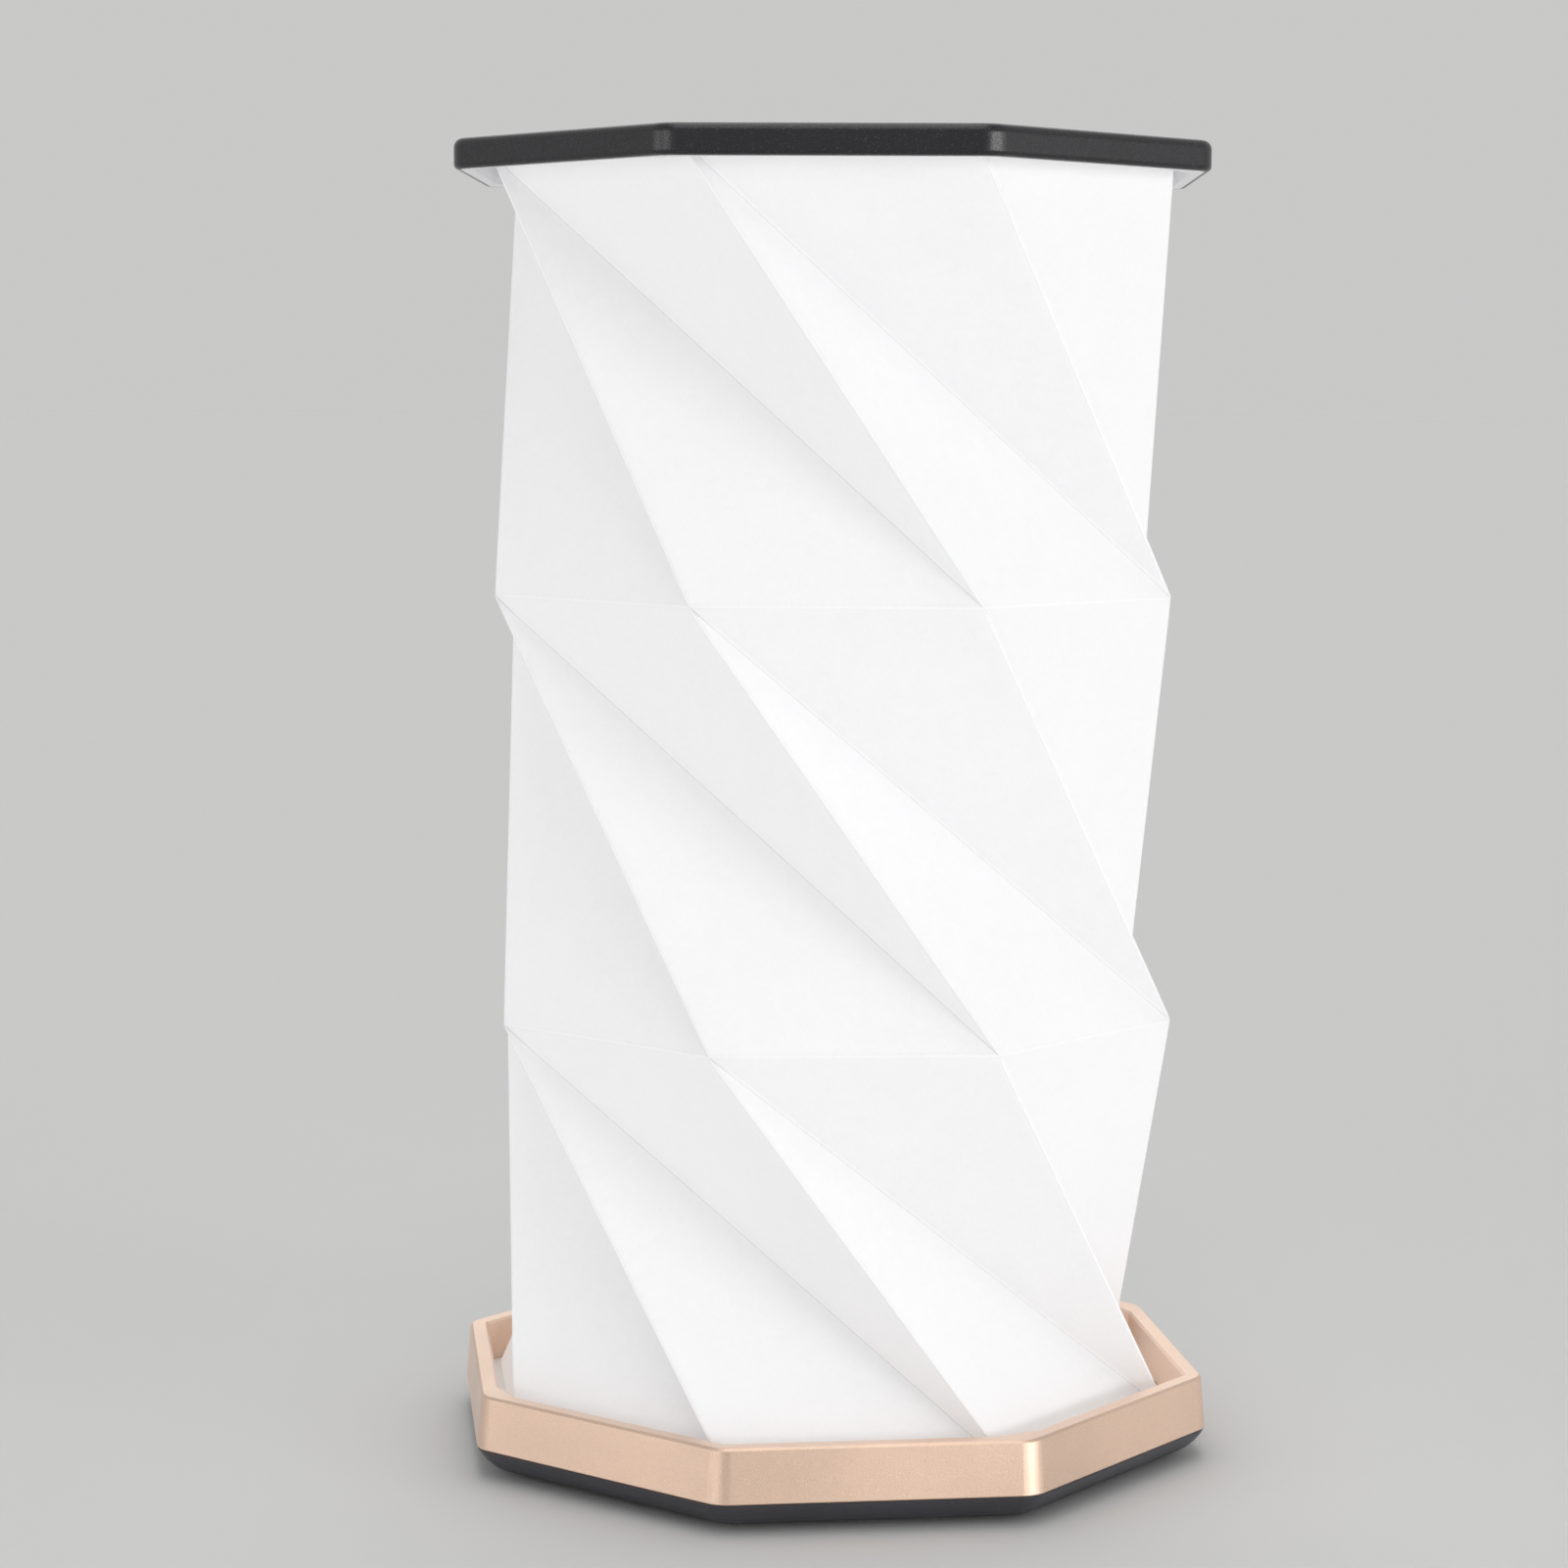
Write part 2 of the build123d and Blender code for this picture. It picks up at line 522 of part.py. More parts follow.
def board_screw_places():
    """Two places near the front corners of the control board and one between the inlet and the switch."""
    x = BOARD_LENGTH / 2 - BOARD_SCREW_INSET
    front = BOARD_FRONT + BOARD_SCREW_INSET
    return [(-x, front), (x, front), (0, BOARD_REAR - BOARD_SCREW_INSET)]


def led_screw_places():
    """Two places on opposite sides of the light unit, between LEDs."""
    return [polar(LED_SCREW_CIRCLE, CORNER_ANGLE + turn) for turn in (0, 180)]


# ---------------------------------------------------------------- light unit
def led_board():
    """Round metal-core board with a wire hole and screw holes."""
    board = prism(Circle(LED_BOARD_RADIUS) - Circle(WIRE_HOLE_RADIUS), FLOOR_TOP, LED_BOARD_TOP)
    for x, y in led_screw_places():
        board -= rod(x, y, SMALL_SCREW_RADIUS + SCREW_HOLE_CLEARANCE, FLOOR_TOP, LED_BOARD_TOP)
    return board


def leds():
    """A ring of surface-mounted LEDs, each with a lens pocket in its face."""
    top = LED_BOARD_TOP + LED_HEIGHT
    package = prism(Rectangle(LED_WIDTH, LED_LENGTH), LED_BOARD_TOP, top)
    pocket = Rectangle(LED_WIDTH - 2 * LED_POCKET_RIM, LED_LENGTH - 2 * LED_POCKET_RIM)
    package -= prism(pocket, top - LED_POCKET_DEPTH, top)
    turns = [360.0 / LED_COUNT * i for i in range(LED_COUNT)]
    return Compound(children=[Rot(0, 0, turn) * Pos(LED_CIRCLE, 0, 0) * package for turn in turns])


def diffuser():
    """Opal cover over the LEDs: a cup with a round shoulder, bevelled inside, in a groove of the tray floor."""
    seat = FLOOR_TOP - DIFFUSER_SEAT
    top = FLOOR_TOP + DIFFUSER_HEIGHT
    cup = rod(0, 0, DIFFUSER_RADIUS, seat, top)
    cup = fillet(top_edges(cup), DIFFUSER_SHOULDER)
    room = rod(0, 0, DIFFUSER_RADIUS - DIFFUSER_WALL, seat, top - DIFFUSER_WALL)
    return cup - chamfer(top_edges(room), DIFFUSER_SHOULDER - DIFFUSER_WALL)


# ---------------------------------------------------------------- power
def battery():
    """Flat pouch cell with rounded long edges and a thinner terrace where its wires leave."""
    half = BATTERY_LENGTH / 2
    cell = block((-half, BATTERY_FRONT_Y, PAD_TOP), (half, TERRACE_FRONT_Y, PAD_TOP + BATTERY_THICKNESS))
    cell = fillet(cell.edges().filter_by(Axis.Y), BATTERY_ROUND)
    edge = half - BATTERY_ROUND
    terrace_top = PAD_TOP + BATTERY_TERRACE_THICKNESS
    return cell + block((-edge, TERRACE_FRONT_Y, PAD_TOP), (edge, BATTERY_REAR_Y, terrace_top))


def battery_pad():
    """Foam tape under the cell."""
    half = BATTERY_LENGTH / 2 - PAD_MARGIN
    return block((-half, BATTERY_FRONT_Y + PAD_MARGIN, CAVITY_FLOOR), (half, TERRACE_FRONT_Y - PAD_MARGIN, PAD_TOP))


def control_board():
    """Board with notches for the inlet and the switch, held by three screws."""
    board = block((-BOARD_LENGTH / 2, BOARD_FRONT, BOARD_BOTTOM), (BOARD_LENGTH / 2, BOARD_REAR, BOARD_TOP))
    board = fillet(board.edges().filter_by(Axis.Z), BOARD_CORNER_RADIUS)
    board -= board_notch(PORT_X, PORT_WIDTH + 2 * NOTCH_CLEARANCE, PORT_BACK - NOTCH_CLEARANCE)
    board -= board_notch(BUTTON_X, SWITCH_NOTCH_WIDTH, SWITCH_BACK - NOTCH_CLEARANCE)
    for x, y in board_screw_places():
        board -= rod(x, y, SMALL_SCREW_RADIUS + SCREW_HOLE_CLEARANCE, BOARD_BOTTOM, BOARD_TOP)
    return board


def board_notch(x, width, front):
    """Notch in the rear edge of the board."""
    return block((x - width / 2, front, BOARD_BOTTOM), (x + width / 2, BOARD_REAR, BOARD_TOP))


def board_parts():
    """Charger chip, driver chip, coil, input capacitor and a row of three small capacitors on the board."""
    row = [(0.0, y, *SMALL_CAPACITOR_SIZE) for y in SMALL_CAPACITOR_ROW]
    parts = []
    for x, y, length, width, height in (CHARGER_CHIP, DRIVER_CHIP, DRIVER_COIL, INPUT_CAPACITOR, *row):
        low = (x - length / 2, BOARD_FRONT + y - width / 2, BOARD_TOP)
        chip = block(low, (x + length / 2, BOARD_FRONT + y + width / 2, BOARD_TOP + height))
        parts.append(chamfer(top_edges(chip), CHIP_EDGE))
    return Compound(children=parts)


def port_shell():
    """Charging inlet: a drawn steel sleeve, closed at its back, with ears that rest on the board."""
    sleeve = rearward(SlotOverall(PORT_WIDTH, PORT_HEIGHT), PORT_X, PORT_Z, PORT_BACK, PORT_MOUTH)
    inner = SlotOverall(PORT_WIDTH - 2 * PORT_SHELL, PORT_HEIGHT - 2 * PORT_SHELL)
    sleeve -= rearward(inner, PORT_X, PORT_Z, PORT_BACK + PORT_SHELL, PORT_MOUTH)
    half = PORT_WIDTH / 2
    for side in (-1, 1):
        for y in (PORT_BACK + PORT_EAR, BOARD_REAR - PORT_EAR):
            x = PORT_X + side * (half - PORT_SHELL / 2 + PORT_EAR / 2)
            low = (x - PORT_EAR / 2, y - PORT_EAR / 2, BOARD_TOP)
            sleeve += block(low, (x + PORT_EAR / 2, y + PORT_EAR / 2, BOARD_TOP + PORT_EAR_THICKNESS))
    return sleeve


def port_tongue():
    """Contact tongue in the inlet."""
    front = PORT_BACK + PORT_SHELL
    tongue = block(
        (PORT_X - TONGUE_WIDTH / 2, front, PORT_Z - TONGUE_THICKNESS / 2),
        (PORT_X + TONGUE_WIDTH / 2, front + TONGUE_LENGTH, PORT_Z + TONGUE_THICKNESS / 2),
    )
    return chamfer(tongue.faces().sort_by(Axis.Y)[-1].edges().filter_by(Axis.X), TONGUE_EDGE)


def power_button():
    """Pill-shaped button with a retaining flange inside the wall and a stem towards the switch."""
    cap = rearward(SlotOverall(BUTTON_WIDTH, BUTTON_HEIGHT), BUTTON_X, BUTTON_Z, FLANGE_OUTER, BUTTON_FACE)
    cap = fillet(cap.faces().sort_by(Axis.Y)[-1].edges(), BUTTON_CROWN)
    flange = SlotOverall(BUTTON_FLANGE_WIDTH, BUTTON_HEIGHT)
    flange_front = FLANGE_OUTER - BUTTON_FLANGE_THICKNESS
    cap += rearward(flange, BUTTON_X, BUTTON_Z, flange_front, FLANGE_OUTER)
    return cap + rearward(Circle(BUTTON_HEIGHT / 2), BUTTON_X, BUTTON_Z, STEM_END, flange_front)


def switch_plunger():
    """Plunger that the button pushes into the switch."""
    return rearward(Circle(PLUNGER_RADIUS), BUTTON_X, BUTTON_Z, SWITCH_FACE - PLUNGER_DEPTH, STEM_END)


def switch_body():
    """Side-push switch, set in the board's notch on two ears."""
    low_z = BUTTON_Z - SWITCH_HEIGHT / 2
    body = block(
        (BUTTON_X - SWITCH_WIDTH / 2, SWITCH_BACK, low_z),
        (BUTTON_X + SWITCH_WIDTH / 2, SWITCH_FACE, low_z + SWITCH_HEIGHT),
    )
    bore_depth = PLUNGER_DEPTH + BUTTON_TRAVEL + NOTCH_CLEARANCE
    bore = Circle(PLUNGER_RADIUS + PLUNGER_CLEARANCE)
    body -= rearward(bore, BUTTON_X, BUTTON_Z, SWITCH_FACE - bore_depth, SWITCH_FACE)
    ear = SWITCH_NOTCH_WIDTH / 2 + PORT_EAR
    return body + block(
        (BUTTON_X - ear, SWITCH_BACK - PORT_EAR, BOARD_TOP),
        (BUTTON_X + ear, SWITCH_BACK + PORT_EAR, BOARD_TOP + PORT_EAR_THICKNESS),
    )


def wire(points, radii):
    """Insulated wire of straight runs joined by arcs."""
    pieces = []
    for run in FilletPolyline(*points, radius=radii).edges():
        section = Plane(run @ 0, z_dir=run % 0) * Circle(WIRE_RADIUS)
        if run.geom_type == GeomType.CIRCLE:
            centre = run.arc_center
            spin = (run @ 0 - centre).cross(run % 0)
            angle = math.degrees(run.length / run.radius)
            pieces.append(revolve(section, Axis(centre, spin), angle))
        else:
            pieces.append(extrude(section, run.length, dir=run % 0))
    return pieces[0].fuse(*pieces[1:])


def battery_leads():
    """Two wires from the terrace of the cell to the front edge of the board."""
    low = PAD_TOP + BATTERY_TERRACE_THICKNESS / 2
    high = BOARD_TOP + WIRE_RADIUS + NOTCH_CLEARANCE
    leads = []
    for i in range(2):
        start = BATTERY_LEAD_X + 2 * WIRE_PITCH * i
        end = BOARD_LEAD_X + WIRE_PITCH * i
        points = [
            (start, BATTERY_REAR_Y, low),
            (start, BATTERY_REAR_Y + LEAD_STRAIGHT, low),
            (end, BOARD_FRONT - LEAD_STRAIGHT, high),
            (end, BOARD_FRONT + LEAD_OVERLAP, high),
        ]
        leads.append(wire(points, [LEAD_BEND, LEAD_BEND]))
    return Compound(children=leads)


def led_leads():
    """Two wires from the board, under the tray floor and up through its middle to the LED board."""
    low = BOARD_TOP + WIRE_RADIUS + NOTCH_CLEARANCE
    high = LED_BOARD_TOP + WIRE_RADIUS + NOTCH_CLEARANCE
    leads = []
    for side in (-1, 1):
        x = side * WIRE_PITCH / 2
        points = [
            (x + LEAD_SPREAD * side, BOARD_FRONT + LEAD_OVERLAP, low),
            (x + LEAD_SPREAD * side, BOARD_FRONT - LEAD_STRAIGHT, low),
            (x, 0, low),
            (x, 0, high),
            (x, -WIRE_HOLE_RADIUS - LEAD_OVERLAP, high),
        ]
        leads.append(wire(points, [LEAD_BEND, LEAD_TURN, LEAD_TURN]))
    return Compound(children=leads)


# ---------------------------------------------------------------- the lamp
def build():
    """Every node of the lamp, by name."""
    return {
        "cap_shell": turned(cap_shell()),
        "cap_liner": turned(cap_liner()),
        "liner_tape": turned(liner_tape()),
        "cap_magnets": magnets(CAP_MAGNET_LOW, CAP_TURN),
        "head_tape": turned(flange_tape(SHADE_HEAD)),
        "paper_shade": paper_shade(),
        "foot_tape": flange_tape(FLOOR_TOP),
        "base_ring": base_ring(),
        "base_magnets": magnets(RING_TOP - RING_BEVEL - MAGNET_LENGTH, 0.0),
        "tray_floor": tray_floor(),
        "bottom_cover": bottom_cover(),
        "rubber_feet": rubber_feet(),
        "cover_screws": cover_screws(),
        "led_board": led_board(),
        "leds": leds(),
        "led_screws": small_screws(led_screw_places(), LED_BOARD_TOP, LED_BOARD_THICKNESS),
        "diffuser": diffuser(),
        "led_leads": led_leads(),
        "battery": battery(),
        "battery_pad": battery_pad(),
        "battery_leads": battery_leads(),
        "control_board": control_board(),
        "board_parts": board_parts(),
        "board_screws": small_screws(board_screw_places(), BOARD_TOP, BOARD_THICKNESS),
        "port_shell": port_shell(),
        "port_tongue": port_tongue(),
        "power_button": power_button(),
        "switch_plunger": switch_plunger(),
        "switch_body": switch_body(),
    }


def crease_length(height, twist):
    """Length of a slanted crease between two corners of neighbouring octagons."""
    return math.hypot(height, 2 * SHADE_RADIUS * math.sin(math.radians(twist / 2)))


def print_facts():
    """Sizes that the motion and the flat sheet follow from."""
    travel = CAP_BOTTOM - RING_TOP - CLOSING_GAP
    turn = FLAT_STOREY_TWIST * len(STOREY_TWISTS) + CAP_TURN
    side = 2 * SHADE_RADIUS * math.sin(math.radians(CORNER_ANGLE))
    print(f"travel {travel:.3f}  turn {turn:.3f}  cap bottom {CAP_BOTTOM:.3f}  cap top {CAP_TOP:.3f}")
    print(f"shade radius {SHADE_RADIUS:.3f}  side {side:.3f}  sheet width {side * SIDES:.1f}")
    for height, twist in zip(STOREY_HEIGHTS, STOREY_TWISTS):
        ridge = crease_length(height, twist)
        valley = crease_length(height, twist + SECTOR)
        half = (side + ridge + valley) / 2
        area = math.sqrt(half * (half - side) * (half - ridge) * (half - valley))
        print(f"storey {height}: ridge {ridge:.2f}  valley {valley:.2f}  strip {2 * area / side:.2f}")


print_facts()
for node, shape in build().items():
    export_step(shape, f"parts/{node}.step")
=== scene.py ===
import json
import math

import bpy
import numpy as np
from mathutils import Matrix, Vector


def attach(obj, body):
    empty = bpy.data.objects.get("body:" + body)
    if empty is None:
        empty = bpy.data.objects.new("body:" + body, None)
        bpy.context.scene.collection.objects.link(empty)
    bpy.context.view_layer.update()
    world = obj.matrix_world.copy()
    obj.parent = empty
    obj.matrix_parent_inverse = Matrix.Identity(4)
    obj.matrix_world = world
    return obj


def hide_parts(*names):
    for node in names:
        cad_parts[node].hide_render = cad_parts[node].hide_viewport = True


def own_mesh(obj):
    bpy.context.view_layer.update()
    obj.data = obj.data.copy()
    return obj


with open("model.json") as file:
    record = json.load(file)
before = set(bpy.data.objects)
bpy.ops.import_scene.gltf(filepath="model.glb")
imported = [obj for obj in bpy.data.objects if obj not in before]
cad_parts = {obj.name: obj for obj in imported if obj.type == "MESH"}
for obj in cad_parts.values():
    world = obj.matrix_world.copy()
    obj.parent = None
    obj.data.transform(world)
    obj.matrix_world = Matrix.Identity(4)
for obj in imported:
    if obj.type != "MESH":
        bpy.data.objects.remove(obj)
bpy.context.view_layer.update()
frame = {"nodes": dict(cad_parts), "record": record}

MM = 0.001  # lengths are in metres and angles in degrees, except where a comment says otherwise

# ---------------------------------------------------------------- sizes of the folded sheet
SIDES = 8
SECTOR = 360.0 / SIDES
CORNER_ANGLE = SECTOR / 2
SHADE_RADIUS = 58.795 * MM  # of the corners of every octagon of creases
LEVEL_Z = [z * MM for z in (212.9, 142.7, 73.6, 7.2)]  # the octagons' heights, from the head to the foot
LEVEL_TURN = (-143.3, -96.8, -48.4, 0.0)  # how far each octagon is turned about Z
FLANGE_WIDTH = 8.0 * MM  # of the glued edge at the head and at the foot
PAPER_THICKNESS = 0.3 * MM

# ---------------------------------------------------------------- mesh of the folded sheet
INSETS = [inset * MM for inset in (0.0, 0.35, 0.8, 2.0, 4.2, 7.2, 10.8)]  # rings of points inside each triangle
STEPS = {"ridge": 16, "valley": 20, "fold": 9}  # faces along one edge of each kind
CREST_DROP = 0.10 * MM  # how far a ridge is rounded off
FOLD_DROP = 0.08 * MM  # the same for a level crease
CORNER_DROP = 0.16 * MM  # the same where creases meet
GROOVE_RISE = 0.10 * MM  # how far a valley is filled
BOW = 0.30 * MM  # how far the middle of a triangle below its valley bulges
UPPER_BOW = 0.6  # bulge of the triangles above their valleys, as a share of BOW
ON_CREASE = 0.02 * MM  # points nearer than this lie on a crease
WELD = 0.01 * MM  # points that round to the same multiples of this are one point
FAR_FROM_CREASE = 9.0  # in millimetres, as the material's crease distances are

# ---------------------------------------------------------------- the paper's look
PAPER_WHITE = (0.715, 0.715, 0.725)
PAPER_ROUGHNESS = 0.62
PAPER_GLOSS = 0.2
PAPER_RELIEF = 0.03 * MM
PAPER_RELIEF_STRENGTH = 0.6
FIBRE_TONE = (0.990, 1.008)
LAID_TONE = 0.009
CLOUD_TONE = 0.005
CLOUD_RELIEF = 0.6  # beside the fibres' 1.0
GLOW_COLOUR = (1.0, 0.995, 0.99)
PAPER_GLOW = 0.225
FOOT_GLOW = 0.08  # extra light of the sheet close to the light unit
FOOT_GLOW_REACH = 8.0 * MM
HEAD_GLOW = 0.045  # extra light that the liner throws back on the sheet
HEAD_GLOW_REACH = 5.0 * MM
VALLEY_SHADOW = (0.010, 0.055)  # above the valley and below it
VALLEY_SHADOW_WIDTH = 4.5  # in millimetres, as the crease distances are
TRAY_SHADOW = 3.0  # how much deeper the valleys' shadows get down in the tray
TRAY_SHADOW_REACH = 18.0 * MM
# Painted highlight on the crest of each ridge and painted shade in the scored dent beside it, a painted dark line in
# each valley and a painted highlight beside it, and the same for level creases; partly the scored paper's own marks
# too.
# Distances from the crease in millimetres: rises from, rises to, falls from, falls to.
CREASE_LIGHT_SHADE_AND_MARKS = (
    ("ridge", 0.00, 0.00, 0.12, 0.24, 0.050),
    ("ridge", 0.20, 0.30, 0.38, 0.56, -0.034),
    ("valley", 0.00, 0.00, 0.05, 0.17, -0.095),
    ("valley", 0.16, 0.24, 0.32, 0.52, 0.034),
    ("fold", 0.00, 0.00, 0.10, 0.24, 0.020),
    ("fold", 0.20, 0.30, 0.40, 0.60, -0.014),
)

# ---------------------------------------------------------------- the other surfaces' looks
NOISE_RANGE = (0.3, 0.7)  # where nearly all values of a noise lie
GRAIN_RANGE = (0.25, 0.75)
FIBRE_RANGE = (0.7, 1.3)  # the same for two noises added up
SPECK_RANGE = (0.62, 0.74)  # only the noise's peaks become specks
SPECK_SCALE = 0.9  # of the grain's own scale
SLOW_SCALE = 28.0  # tone changes some 35 mm across
ROUGHNESS_SPREAD = 0.05
EDGE_SAMPLES = 6
COAT_ROUGHNESS = 0.4  # of the clear film on anodised metal
WIRE_COLOURS = ((0.45, 0.03, 0.02), (0.02, 0.02, 0.022))
WIRE_SPLIT_X = 0.0
WIRE_ROUGHNESS = 0.45
WIRE_GRAIN_SCALE = 900.0
WIRE_RELIEF = 0.02 * MM
# Name, colour, roughness, size and depth of the grain in millimetres, and what differs from grained()'s own values.
FINISHES = (
    ("cap_black", (0.0062, 0.0058, 0.0080), 0.29, 0.24, 0.03, {"variation": 0.3, "sparkle": 6.0, "edge": 0.2}),
    ("base_black", (0.037, 0.036, 0.043), 0.36, 0.24, 0.02, {"variation": 0.15, "sparkle": 0.8, "edge": 0.2}),
    ("button_black", (0.020, 0.020, 0.022), 0.38, 0.26, 0.02, {"edge": 0.05}),
    ("liner_grey", (0.74, 0.74, 0.75), 0.55, 0.5, 0.01, {"variation": 0.02}),
    ("tray_white", (0.78, 0.77, 0.75), 0.50, 0.5, 0.01, {"variation": 0.02}),
    (
        "rose_gold", (0.83, 0.605, 0.465), 0.42, 0.20, 0.025,
        {"variation": 0.08, "sparkle": 0.12, "metallic": 1.0, "coat": 0.8, "edge": 0.12},
    ),
    ("feet", (0.045, 0.045, 0.045), 0.75, 0.4, 0.03, {}),
    ("screw_steel", (0.52, 0.52, 0.53), 0.32, 0.1, 0.004, {"metallic": 1.0, "edge": 0.05}),
    ("port_steel", (0.60, 0.60, 0.61), 0.28, 0.1, 0.003, {"metallic": 1.0, "edge": 0.05}),
    ("magnet", (0.66, 0.65, 0.63), 0.22, 0.2, 0.002, {"metallic": 1.0, "edge": 0.05}),
    ("tape", (0.74, 0.73, 0.70), 0.7, 0.3, 0.01, {"variation": 0.03, "edge": 0.02}),
    ("led_board", (0.76, 0.77, 0.77), 0.4, 0.6, 0.004, {"variation": 0.02, "edge": 0.05}),
    ("led", (0.80, 0.64, 0.20), 0.3, 0.3, 0.004, {"edge": 0.05}),
    ("opal", (0.80, 0.79, 0.76), 0.45, 0.5, 0.004, {"variation": 0.01}),
    ("pouch", (0.62, 0.63, 0.65), 0.35, 0.6, 0.02, {"metallic": 1.0}),
    ("pad", (0.12, 0.12, 0.12), 0.9, 0.5, 0.08, {}),
    ("board_green", (0.02, 0.16, 0.07), 0.35, 0.5, 0.006, {"edge": 0.05}),
    ("chips", (0.035, 0.035, 0.038), 0.45, 0.2, 0.01, {"edge": 0.03}),
)

# ---------------------------------------------------------------- camera, floor and light
CAMERA_PLACE = Vector((-0.08241, -0.61169, 0.17357))  # fitted to the creases and corners in the photo
CAMERA_YAW = 0.1215  # this and the next two in radians
CAMERA_PITCH = -0.1024
CAMERA_ROLL = 0.0045
CAMERA_LENS = 85.13  # this and the next in millimetres
SENSOR_WIDTH = 36.0
CLIP_START = 0.01
FLOOR_REACH = 60.0
FLOOR_GAP = 0.02 * MM  # keeps the floor and the feet from sharing a plane
FLOOR_TONE = (0.645, 0.645, 0.64)
FLOOR_BOUNCE = (0.95, 0.95, 0.95)  # the floor's colour for the light that it throws back on the lamp
FLOOR_ROUGHNESS = 0.85
BACKDROP = (0.58, 0.58, 0.576)
WORLD_LIGHT = 0.60
LAMPS = {  # azimuth, elevation, level, spread
    "key": (60, 5, 0.22, 18),
    "key_front": (42, 5, 0.08, 16),
    "side": (80, 5, 0.045, 18),
    "fill": (-68, 5, 0.095, 26),
    "fill_front": (-36, 5, 0.075, 30),
    "top_front": (0, 58, 0.07, 22),
    "top": (0, 82, 0.07, 22),
    "top_rear": (0, 106, 0.07, 22),
    "rim": (180, 38, 0.09, 40),
}
CARDS = {  # the same, seen in gloss only
    "right_corner": (37, 9, 0.14, 14),
    "left_corner": (-40, 7, 0.06, 16),
    "left": (-74, 5, 0.03, 20),
}


# ---------------------------------------------------------------- materials
class Graph:
    """A material's node tree, with short calls to add and join nodes."""

    def __init__(self, name):
        self.material = bpy.data.materials.new(name)
        self.material.use_nodes = True
        self.tree = self.material.node_tree
        self.tree.nodes.clear()
        output = self.tree.nodes.new("ShaderNodeOutputMaterial")
        self.shader = self.tree.nodes.new("ShaderNodeBsdfPrincipled")
        self.tree.links.new(self.shader.outputs["BSDF"], output.inputs["Surface"])

    def add(self, kind, inputs=None, **settings):
        node = self.tree.nodes.new("ShaderNode" + kind)
        for key, value in settings.items():
            setattr(node, key, value)
        for key, value in (inputs or {}).items():
            self.put(node.inputs[key], value)
        return node

    def put(self, socket, value):
        """Joins a node or a socket to this one, or sets it to a number, a vector or a colour."""
        if isinstance(value, bpy.types.NodeSocket):
            self.tree.links.new(value, socket)
        elif isinstance(value, bpy.types.Node):
            self.tree.links.new(value.outputs[0], socket)
        elif hasattr(value, "__len__") and len(value) == 3 and len(socket.default_value) == 4:
            socket.default_value = (*value, 1.0)
        else:
            socket.default_value = value

    def set(self, **values):
        for key, value in values.items():
            self.put(self.shader.inputs[key.replace("_", " ")], value)

    def math(self, operation, a, b=None):
        inputs = {0: a} if b is None else {0: a, 1: b}
        return self.add("Math", inputs, operation=operation)

    def place(self):
        return self.add("TexCoord").outputs["Object"]

    def part(self, vector, axis):
        return self.add("SeparateXYZ", {"Vector": vector}).outputs[axis]

    def noise(self, scale, detail=2.0, roughness=0.5, distortion=0.0, stretch=(1.0, 1.0, 1.0), turn=(0.0, 0.0, 0.0)):
        """Noise fixed to the object: stretch squeezes it along each axis and turn is in radians."""
        mapping = self.add("Mapping", {"Vector": self.place(), "Rotation": turn, "Scale": stretch})
        inputs = {"Vector": mapping, "Scale": scale, "Detail": detail, "Roughness": roughness, "Distortion": distortion}
        return self.add("TexNoise", inputs).outputs["Fac"]

    def remap(self, value, given, wanted, smooth=False):
        """Maps the given range of a value to the wanted one, and holds it at the ends."""
        inputs = {"Value": value, "From Min": given[0], "From Max": given[1], "To Min": wanted[0], "To Max": wanted[1]}
        kind = "SMOOTHSTEP" if smooth else "LINEAR"
        return self.add("MapRange", inputs, interpolation_type=kind).outputs["Result"]

    def fade(self, distance, reach):
        """1 at no distance, and down by a factor of e with every reach; a negative reach runs the other way."""
        return self.math("EXPONENT", self.math("MULTIPLY", distance, -1 / reach))

    def mix(self, factor, a, b):
        node = self.add("Mix", data_type="RGBA")
        for key, value in (("Factor", factor), ("A", a), ("B", b)):
            sockets = [s for s in node.inputs if s.name == key and s.enabled]
            self.put(sockets[0], value)
        return [s for s in node.outputs if s.enabled][0]

    def scale(self, colour, factor):
        node = self.add("VectorMath", {0: colour, "Scale": factor}, operation="SCALE")
        return node.outputs["Vector"]

    def bump(self, height, distance, strength=1.0, normal=None):
        inputs = {"Height": height, "Distance": distance, "Strength": strength}
        if normal is not None:
            inputs["Normal"] = normal
        return self.add("Bump", inputs).outputs["Normal"]


def grained(
    name, colour, roughness, grain, depth, variation=0.05, sparkle=0.0, metallic=0.0, gloss=0.5, coat=0.0, edge=0.15
):
    """Moulded, blasted or painted surface: fine grain with bright specks that are painted glints, slow tone changes and
    rounded edges.

    grain, depth and edge are in millimetres.
    """
    g = Graph(name)
    slow = g.noise(SLOW_SCALE, detail=3.0)
    fine = g.noise(1.0 / (grain * MM), roughness=0.6)
    # bright specks in the base colour: painted glints of the grain
    glint_specks = g.remap(g.noise(SPECK_SCALE / (grain * MM), detail=1.0), SPECK_RANGE, (0.0, sparkle))
    tone = g.math("ADD", g.remap(slow, NOISE_RANGE, (1 - variation, 1 + variation)), glint_specks)
    tone = g.math("ADD", tone, g.remap(fine, NOISE_RANGE, (-variation, variation)))
    g.set(Base_Color=g.scale(colour, tone))
    g.set(Roughness=g.remap(fine, GRAIN_RANGE, (roughness - ROUGHNESS_SPREAD, roughness + ROUGHNESS_SPREAD)))
    g.set(Metallic=metallic, Specular_IOR_Level=gloss, Coat_Weight=coat, Coat_Roughness=COAT_ROUGHNESS)
    soft_edge = g.add("Bevel", {"Radius": edge * MM}, samples=EDGE_SAMPLES).outputs["Normal"]
    g.set(Normal=g.bump(fine, depth * MM, normal=soft_edge))
    return g.material


